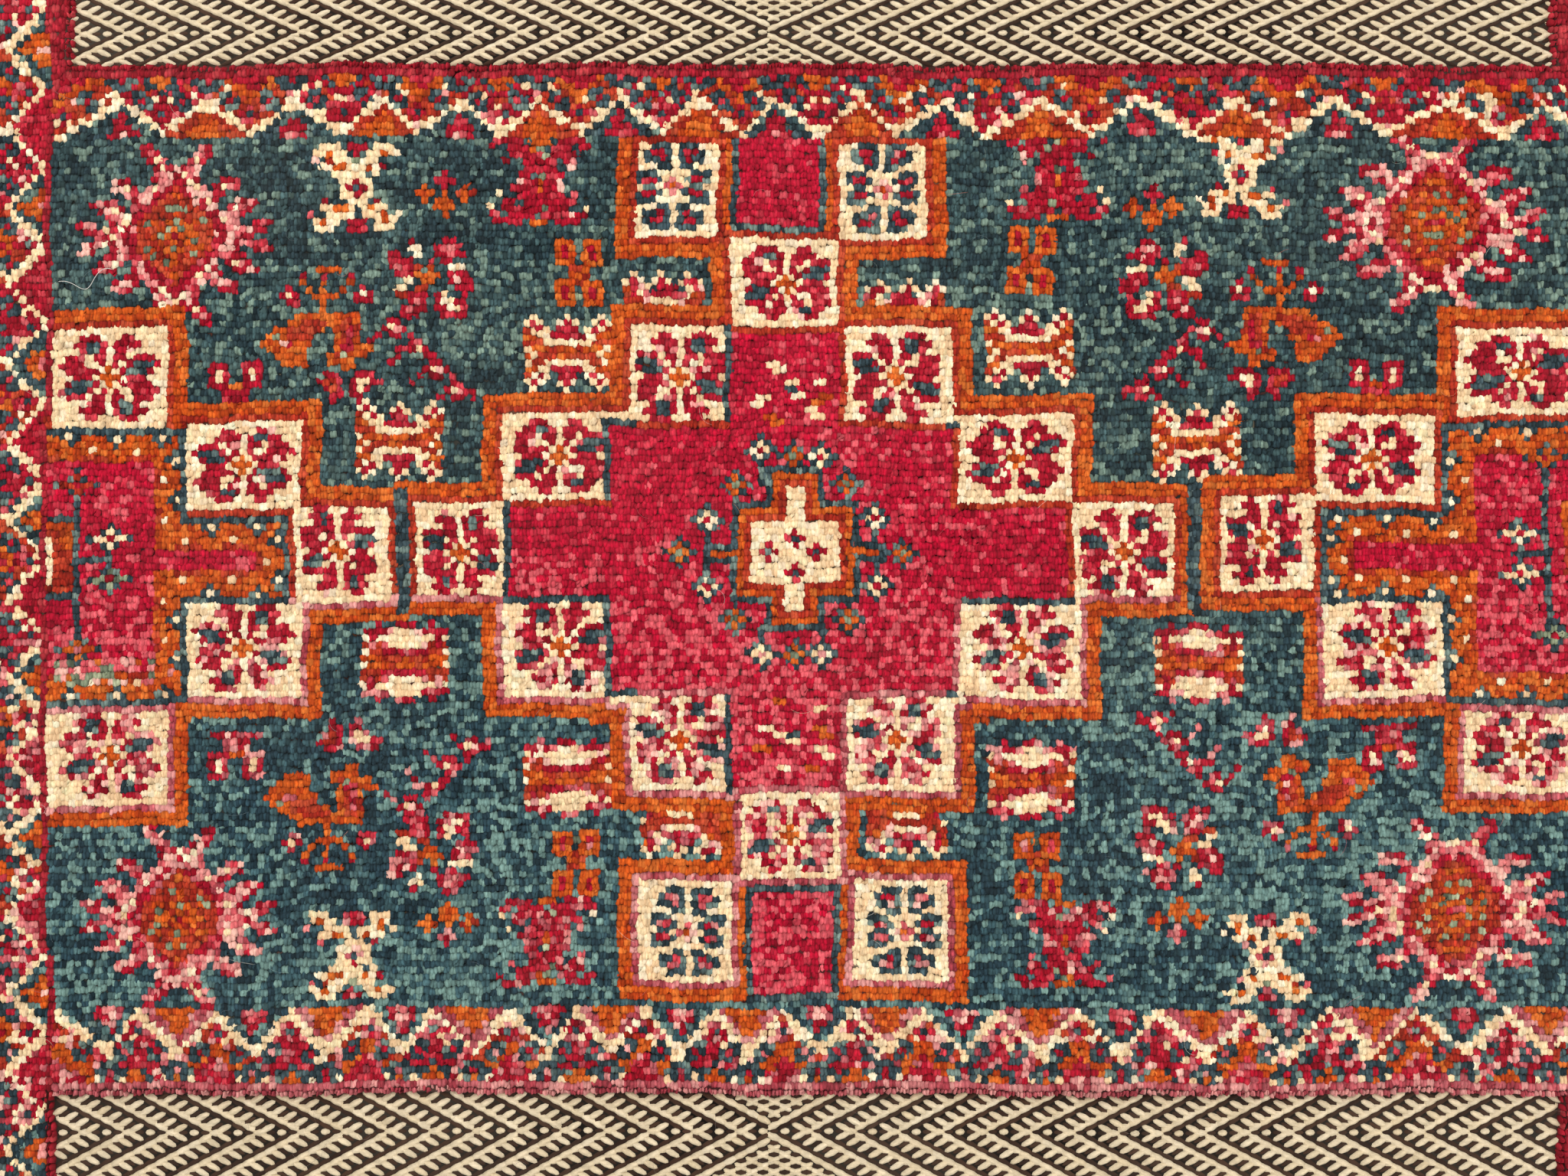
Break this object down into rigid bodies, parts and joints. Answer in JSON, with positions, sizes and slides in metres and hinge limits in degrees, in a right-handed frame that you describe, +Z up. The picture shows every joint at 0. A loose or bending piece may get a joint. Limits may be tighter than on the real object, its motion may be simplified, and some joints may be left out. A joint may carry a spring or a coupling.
{
  "type": "berber kilim rug",
  "caption": "Flat hand-woven wool rug: a knotted pile panel with a pile border on all sides and a lower flat-woven band across each end.",
  "frame": {"origin": "middle of the rug's footprint, on the surface that it lies on", "axes": "+X across the loom, along the rows of knots; +Y along the warps, towards the end at the picture's top; +Z up out of the pile"},
  "size_m": [0.9984, 0.886, 0.0095],
  "materials": {
    "wool": "matte hand-spun wool, knotted pile and flat weave"
  },
  "bodies": {
    "root": {"rug": "wool"}
  },
  "joints": []
}
